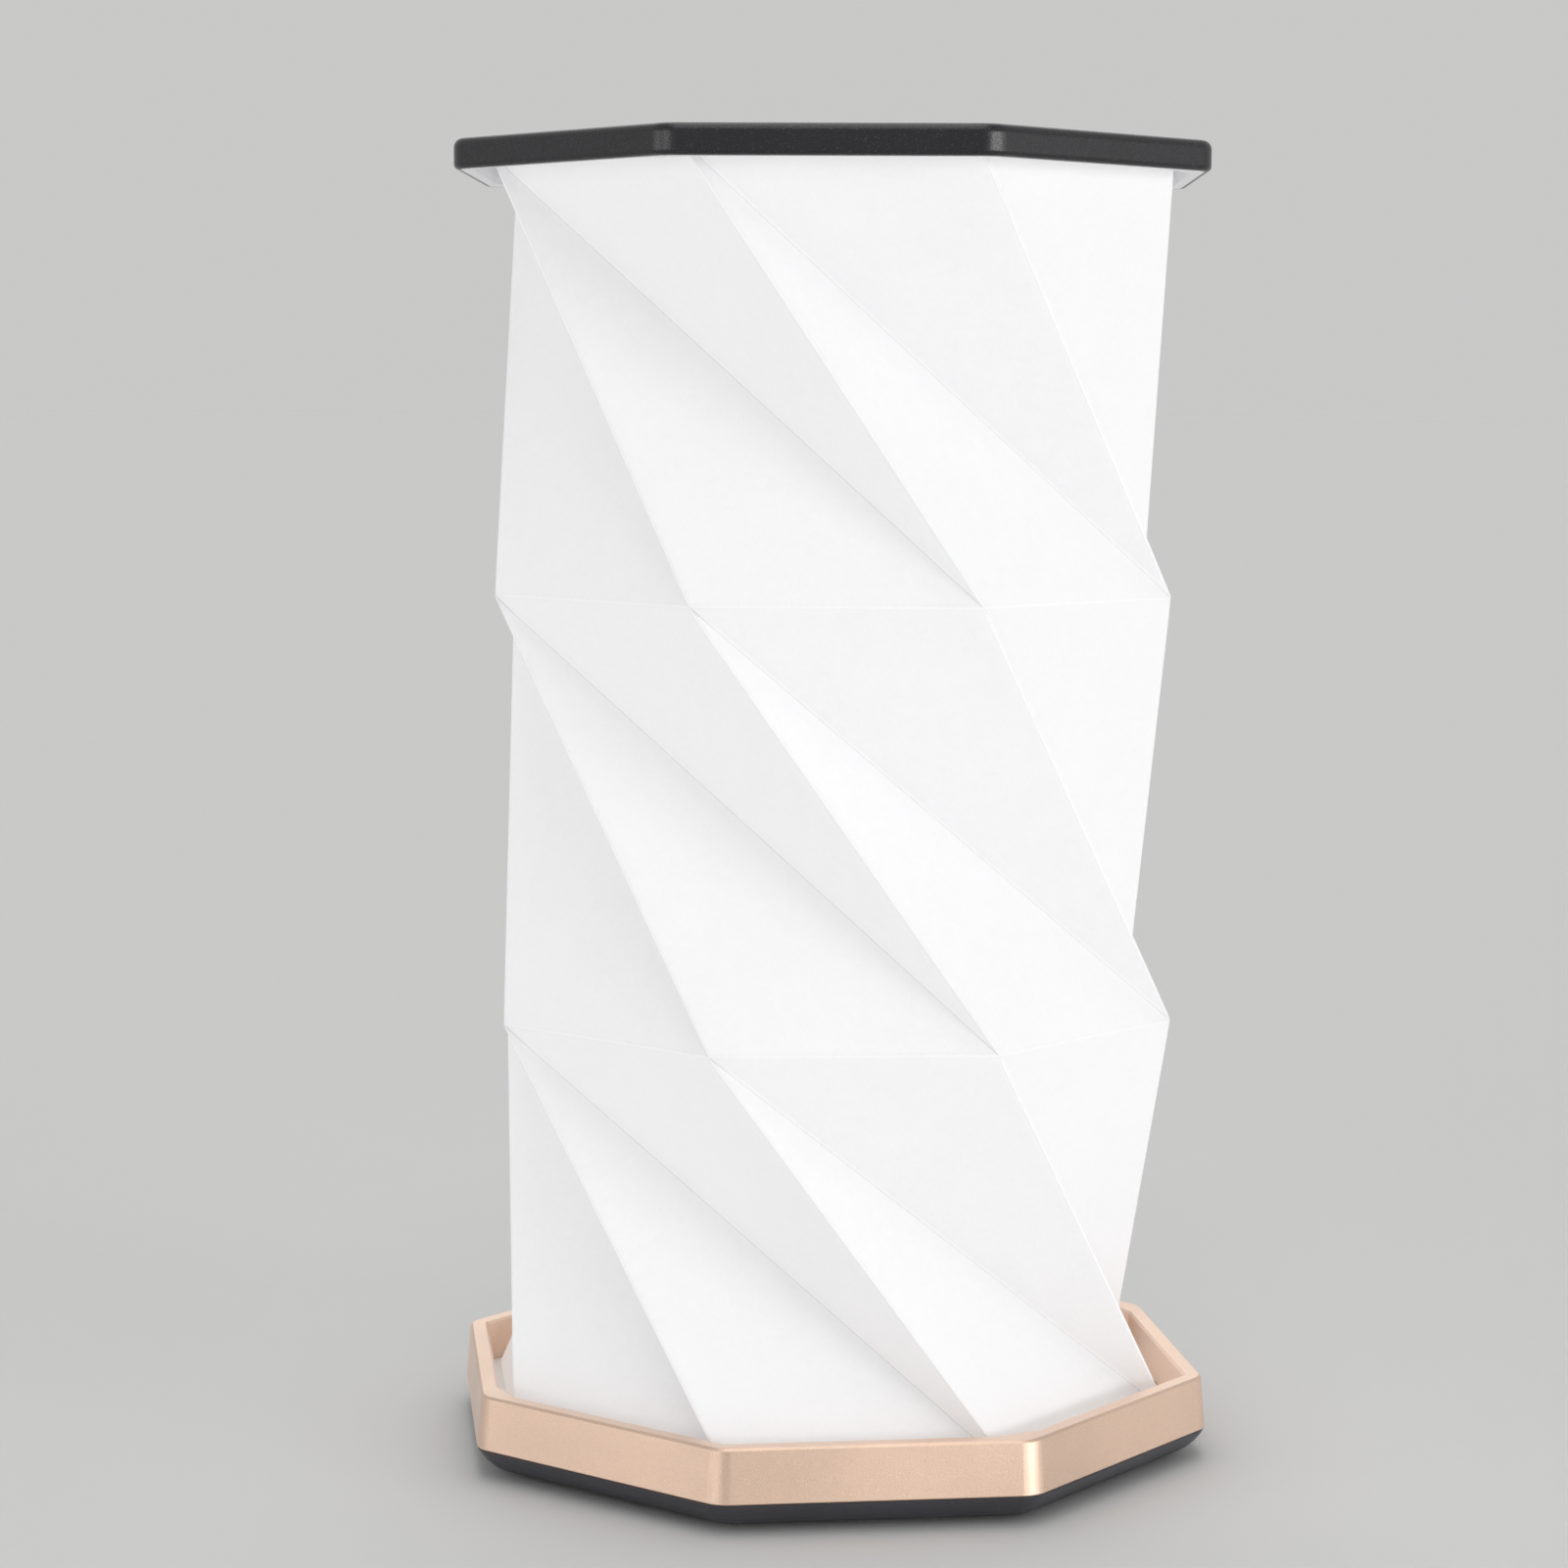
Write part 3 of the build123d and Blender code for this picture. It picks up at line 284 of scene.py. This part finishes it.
def paper_material():
    """White spun-bonded paper, lit from within: fibres, upright laid grain, scored creases with painted highlights and
    shade, painted soft valley shadows.
    """
    g = Graph("spun_paper")
    creases = g.add("UVMap", uv_map="creases").outputs["UV"]
    levels = g.add("UVMap", uv_map="levels").outputs["UV"]
    near = {"ridge": g.part(creases, "X"), "valley": g.part(creases, "Y"), "fold": g.part(levels, "X")}
    below_valley = g.part(levels, "Y")

    fibre = {"detail": 4.0, "roughness": 0.62}
    fibre_a = g.noise(scale=420.0, distortion=0.6, stretch=(1.0, 1.0, 0.35), turn=(0.3, 0.1, 0.5), **fibre)
    fibre_b = g.noise(scale=520.0, distortion=0.8, stretch=(0.4, 1.0, 1.0), turn=(0.9, 0.4, 0.2), **fibre)
    fibres = g.math("ADD", fibre_a, fibre_b)
    laid = g.noise(scale=2600.0, stretch=(1.0, 1.0, 0.09))
    cloud = g.noise(scale=55.0, detail=3.0)
    tone = g.remap(fibres, FIBRE_RANGE, FIBRE_TONE)
    tone = g.math("ADD", tone, g.remap(laid, NOISE_RANGE, (-LAID_TONE, LAID_TONE)))
    tone = g.math("ADD", tone, g.remap(cloud, NOISE_RANGE, (-CLOUD_TONE, CLOUD_TONE)))

    # painted highlights and painted shade along each crease, partly the scored paper's own marks
    for kind, rise_from, rise_to, fall_from, fall_to, weight in CREASE_LIGHT_SHADE_AND_MARKS:
        band = g.remap(near[kind], (fall_from, fall_to), (weight, 0.0), smooth=True)
        if rise_to > rise_from:
            rise = g.remap(near[kind], (rise_from, rise_to), (0.0, 1.0), smooth=True)
            band = g.math("MULTIPLY", band, rise)
        tone = g.math("ADD", tone, band)

    # slow shadow that fades away from the valley, deeper down in the tray
    height_up = g.part(g.place(), "Z")
    over_foot = g.math("SUBTRACT", height_up, LEVEL_Z[-1])
    in_tray = g.math("MULTIPLY", g.fade(over_foot, TRAY_SHADOW_REACH), TRAY_SHADOW)
    shadow = g.fade(near["valley"], VALLEY_SHADOW_WIDTH)
    shadow = g.math("MULTIPLY", shadow, g.remap(below_valley, (0.0, 1.0), VALLEY_SHADOW))
    shadow = g.math("MULTIPLY", shadow, g.math("ADD", in_tray, 1.0))
    tone = g.math("SUBTRACT", tone, shadow)

    under_head = g.math("SUBTRACT", height_up, LEVEL_Z[0])
    foot = g.math("MULTIPLY", g.fade(over_foot, FOOT_GLOW_REACH), FOOT_GLOW)
    head = g.math("MULTIPLY", g.fade(under_head, -HEAD_GLOW_REACH), HEAD_GLOW)
    relief = g.math("ADD", g.math("ADD", fibres, laid), g.math("MULTIPLY", cloud, CLOUD_RELIEF))
    g.set(Base_Color=g.scale(PAPER_WHITE, tone), Emission_Color=g.scale(GLOW_COLOUR, tone))
    g.set(Emission_Strength=g.math("ADD", g.math("ADD", foot, head), PAPER_GLOW))
    g.set(Roughness=PAPER_ROUGHNESS, Specular_IOR_Level=PAPER_GLOSS)
    g.set(Normal=g.bump(relief, PAPER_RELIEF, strength=PAPER_RELIEF_STRENGTH))
    return g.material


def wire_material():
    """Insulated wires: one colour each side of a plane square to X."""
    g = Graph("wire")
    beyond = g.math("GREATER_THAN", g.part(g.place(), "X"), WIRE_SPLIT_X)
    g.set(Base_Color=g.mix(beyond, *WIRE_COLOURS), Roughness=WIRE_ROUGHNESS)
    g.set(Normal=g.bump(g.noise(WIRE_GRAIN_SCALE), WIRE_RELIEF))
    return g.material


# ---------------------------------------------------------------- shade
def ring_points(level):
    """Corners of one octagon of creases."""
    turn = CORNER_ANGLE + LEVEL_TURN[level]
    angles = [math.radians(turn + SECTOR * k) for k in range(SIDES)]
    return [np.array((SHADE_RADIUS * math.cos(a), SHADE_RADIUS * math.sin(a), LEVEL_Z[level])) for a in angles]


def facets():
    """Every triangle of the shade: 1.0 if it lies below its valley, its corners and its edges' kinds.

    Seen from outside, the corners a, b and c run anticlockwise and the kinds are those of a-b, b-c and c-a.
    """
    rings = [ring_points(i) for i in range(len(LEVEL_Z))]
    out = []
    for upper, lower in zip(rings, rings[1:]):
        for k in range(SIDES):
            n = (k + 1) % SIDES
            out.append((1.0, (upper[k], lower[k], lower[n]), ("ridge", "fold", "valley")))
            out.append((0.0, (upper[k], lower[n], upper[n]), ("valley", "ridge", "fold")))
    return out


class Shell:
    """Grows a mesh with merged points, and keeps what the material needs at each corner of a face."""

    def __init__(self):
        self.points = []
        self.index = {}
        self.faces = []
        self.creases = []
        self.levels = []
        self.on_edges = {}

    def vertex(self, p):
        key = tuple(np.round(p / WELD).astype(int))
        if key not in self.index:
            self.index[key] = len(self.points)
            self.points.append(p)
        return self.index[key]

    def face(self, corners):
        """Adds a face from pairs of a point and its facts, and leaves out points that fall together."""
        ids = [self.vertex(p) for p, _ in corners]
        if len(set(ids)) < 3:
            return
        keep = [i for i, v in enumerate(ids) if v not in ids[:i]]
        self.faces.append([ids[i] for i in keep])
        for i in keep:
            creases, levels = corners[i][1]
            self.creases.append(creases)
            self.levels.append(levels)


def add_facet(shell, below_valley, corners, kinds):
    """Fills one triangle with rings that follow its edges, dense at the creases."""
    a, b, c = corners
    edges = ((a, b), (b, c), (c, a))
    lengths = [np.linalg.norm(end - start) for start, end in edges]
    double_area = np.linalg.norm(np.cross(b - a, c - a))
    normal = np.cross(b - a, c - a) / double_area
    inradius = double_area / sum(lengths)

    def distances(p):
        out = {}
        for (start, end), kind, length in zip(edges, kinds, lengths):
            out[kind] = max(0.0, float(np.dot(np.cross(normal, (end - start) / length), p - start)))
        return out

    def bowed(p):
        near = distances(p)
        spread = (near["ridge"] * near["valley"] * near["fold"]) ** (1 / 3) / inradius
        return p + normal * (BOW * spread * (1.0 if below_valley else UPPER_BOW))

    def facts(p):
        near = distances(p)
        return (near["ridge"] / MM, near["valley"] / MM), (near["fold"] / MM, below_valley)

    def ring(inset):
        inner = []
        for i in range(3):
            p, after, before = corners[i], corners[(i + 1) % 3], corners[(i + 2) % 3]
            share_after = inset * lengths[(i + 2) % 3] / double_area
            share_before = inset * lengths[i] / double_area
            inner.append(p + (after - p) * share_after + (before - p) * share_before)
        points = []
        for i, kind in enumerate(kinds):
            start, end = inner[i], inner[(i + 1) % 3]
            points += [start + (end - start) * t / STEPS[kind] for t in range(STEPS[kind])]
        return points

    border, *inside = [ring(inset) for inset in INSETS]
    rows = [[(p, facts(p)) for p in border]]
    rows += [[(bowed(p), facts(p)) for p in row] for row in inside]
    for outer, inner in zip(rows, rows[1:]):
        for i in range(len(outer)):
            n = (i + 1) % len(outer)
            shell.face((outer[i], outer[n], inner[n], inner[i]))
    centre = (a * lengths[1] + b * lengths[2] + c * lengths[0]) / sum(lengths)
    middle = (bowed(centre), facts(centre))
    last = rows[-1]
    for i in range(len(last)):
        shell.face((last[i], last[(i + 1) % len(last)], middle))
    for p in border:
        shell.on_edges.setdefault(shell.vertex(p), []).append((normal, distances(p)))


def crease_shift(meeting):
    """How far a point that triangles share moves, so that the paper turns over a small radius there."""
    normal = sum(n for n, _ in meeting)
    normal = normal / np.linalg.norm(normal)
    touching = [kind for kind in STEPS if min(near[kind] for _, near in meeting) < ON_CREASE]
    if len(touching) > 1:
        return normal * -CORNER_DROP
    if touching == ["ridge"]:
        return normal * -CREST_DROP
    if touching == ["fold"]:
        return normal * -FOLD_DROP
    return normal * GROOVE_RISE


def add_flange(shell, level):
    """The glued edge of the paper, turned in flat at the foot or the head."""
    corners = ring_points(level)
    inner_radius = SHADE_RADIUS - FLANGE_WIDTH / math.cos(math.radians(CORNER_ANGLE))
    inner = [p * np.array((inner_radius / SHADE_RADIUS, inner_radius / SHADE_RADIUS, 1.0)) for p in corners]
    plain = ((FAR_FROM_CREASE, FAR_FROM_CREASE), (FAR_FROM_CREASE, 0.0))
    steps = STEPS["fold"]
    for k in range(SIDES):
        n = (k + 1) % SIDES
        for t in range(steps):
            low, high = t / steps, (t + 1) / steps
            quad = [
                corners[k] + (corners[n] - corners[k]) * low,
                corners[k] + (corners[n] - corners[k]) * high,
                inner[k] + (inner[n] - inner[k]) * high,
                inner[k] + (inner[n] - inner[k]) * low,
            ]
            shell.face([(p, plain) for p in (quad if level == 0 else quad[::-1])])


def build_shade():
    """The folded paper as one closed sheet."""
    shell = Shell()
    for below_valley, corners, kinds in facets():
        add_facet(shell, below_valley, corners, kinds)
    add_flange(shell, 0)
    add_flange(shell, len(LEVEL_Z) - 1)
    points = list(shell.points)
    for i, meeting in shell.on_edges.items():
        if len(meeting) > 1:
            points[i] = points[i] + crease_shift(meeting)
    mesh = bpy.data.meshes.new("paper_folds")
    mesh.from_pydata([tuple(p) for p in points], [], shell.faces)
    for name, values in (("creases", shell.creases), ("levels", shell.levels)):
        layer = mesh.uv_layers.new(name=name)
        layer.data.foreach_set("uv", np.array(values, np.float32).ravel())
    mesh.polygons.foreach_set("use_smooth", [True] * len(mesh.polygons))
    mesh.update()
    obj = bpy.data.objects.new("paper_folds", mesh)
    bpy.context.scene.collection.objects.link(obj)
    thicken = obj.modifiers.new("thickness", "SOLIDIFY")
    thicken.thickness = PAPER_THICKNESS
    thicken.offset = -1.0  # grows inwards
    bpy.context.view_layer.objects.active = obj
    bpy.ops.object.modifier_apply(modifier=thicken.name)
    return obj


# ---------------------------------------------------------------- camera, floor and light
def add_camera():
    flat = math.cos(CAMERA_PITCH)
    forward = Vector((math.sin(CAMERA_YAW) * flat, math.cos(CAMERA_YAW) * flat, math.sin(CAMERA_PITCH)))
    level_right = Vector((math.cos(CAMERA_YAW), -math.sin(CAMERA_YAW), 0))
    level_up = level_right.cross(forward)
    right = math.cos(CAMERA_ROLL) * level_right + math.sin(CAMERA_ROLL) * level_up
    up = right.cross(forward)
    data = bpy.data.cameras.new("camera")
    data.sensor_width = SENSOR_WIDTH
    data.lens = CAMERA_LENS
    data.clip_start = CLIP_START
    camera = bpy.data.objects.new("camera", data)
    bpy.context.scene.collection.objects.link(camera)
    turn = Matrix((right, up, -forward)).transposed().to_4x4()
    camera.matrix_world = Matrix.Translation(CAMERA_PLACE) @ turn
    bpy.context.scene.camera = camera


def add_lamp(name, azimuth, elevation, level, spread):
    """A broad, distant studio lamp.

    azimuth runs from the camera's side towards its right, and level is what a white face square to it gives.
    """
    data = bpy.data.lights.new(name, "SUN")
    data.energy = level * math.pi
    data.angle = math.radians(spread)
    light = bpy.data.objects.new(name, data)
    bpy.context.scene.collection.objects.link(light)
    heading = math.radians(azimuth) - CAMERA_YAW
    tilt = math.radians(elevation)
    place = Vector((math.sin(heading) * math.cos(tilt), -math.cos(heading) * math.cos(tilt), math.sin(tilt)))
    light.rotation_euler = place.to_track_quat("Z", "Y").to_euler()
    return light


def add_floor():
    """A plain pale floor, which throws back more light than it shows."""
    mesh = bpy.data.meshes.new("floor")
    corners = [(x * FLOOR_REACH, y * FLOOR_REACH, -FLOOR_GAP) for x, y in ((-1, -1), (1, -1), (1, 1), (-1, 1))]
    mesh.from_pydata(corners, [], [(0, 1, 2, 3)])
    floor = bpy.data.objects.new("floor", mesh)
    bpy.context.scene.collection.objects.link(floor)
    g = Graph("floor")
    seen = g.math("MAXIMUM", g.add("LightPath").outputs["Is Camera Ray"], g.add("LightPath").outputs["Is Glossy Ray"])
    g.set(Base_Color=g.mix(seen, FLOOR_BOUNCE, FLOOR_TONE), Roughness=FLOOR_ROUGHNESS, Specular_IOR_Level=0.0)
    floor.data.materials.append(g.material)


def add_world():
    """White light from all round, with the pale backdrop where the camera or a glossy surface sees it."""
    world = bpy.data.worlds.new("studio")
    bpy.context.scene.world = world
    world.use_nodes = True
    tree = world.node_tree
    tree.nodes.clear()
    output = tree.nodes.new("ShaderNodeOutputWorld")
    light_path = tree.nodes.new("ShaderNodeLightPath")
    ambient = tree.nodes.new("ShaderNodeBackground")
    ambient.inputs["Color"].default_value = (1.0, 1.0, 1.0, 1.0)
    ambient.inputs["Strength"].default_value = WORLD_LIGHT
    backdrop = tree.nodes.new("ShaderNodeBackground")
    backdrop.inputs["Color"].default_value = (*BACKDROP, 1.0)
    backdrop.inputs["Strength"].default_value = 1.0
    seen = tree.nodes.new("ShaderNodeMath")
    seen.operation = "MAXIMUM"
    mix = tree.nodes.new("ShaderNodeMixShader")
    tree.links.new(light_path.outputs["Is Camera Ray"], seen.inputs[0])
    tree.links.new(light_path.outputs["Is Glossy Ray"], seen.inputs[1])
    tree.links.new(seen.outputs[0], mix.inputs["Fac"])
    tree.links.new(ambient.outputs["Background"], mix.inputs[1])
    tree.links.new(backdrop.outputs["Background"], mix.inputs[2])
    tree.links.new(mix.outputs["Shader"], output.inputs["Surface"])


# ---------------------------------------------------------------- the lamp
MATERIALS = {row[0]: grained(*row[:-1], **row[-1]) for row in FINISHES}
MATERIALS["wire"] = wire_material()

SLOT_OF = {entry["node"]: entry["material_slot"] for entry in frame["record"]["subparts"]}
for node_name, node in frame["nodes"].items():
    if SLOT_OF[node_name] in MATERIALS:
        for slot in node.material_slots:
            slot.material = MATERIALS[SLOT_OF[node_name]]

shade = build_shade()
shade.data.materials.append(paper_material())
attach(shade, "shade")
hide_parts("paper_shade")
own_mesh(shade)

# ---------------------------------------------------------------- the studio
add_camera()
for name, settings in LAMPS.items():
    add_lamp(name, *settings)
for name, settings in CARDS.items():
    add_lamp(name, *settings).visible_diffuse = False
add_floor()
add_world()
bpy.context.scene.view_settings.view_transform = "Standard"
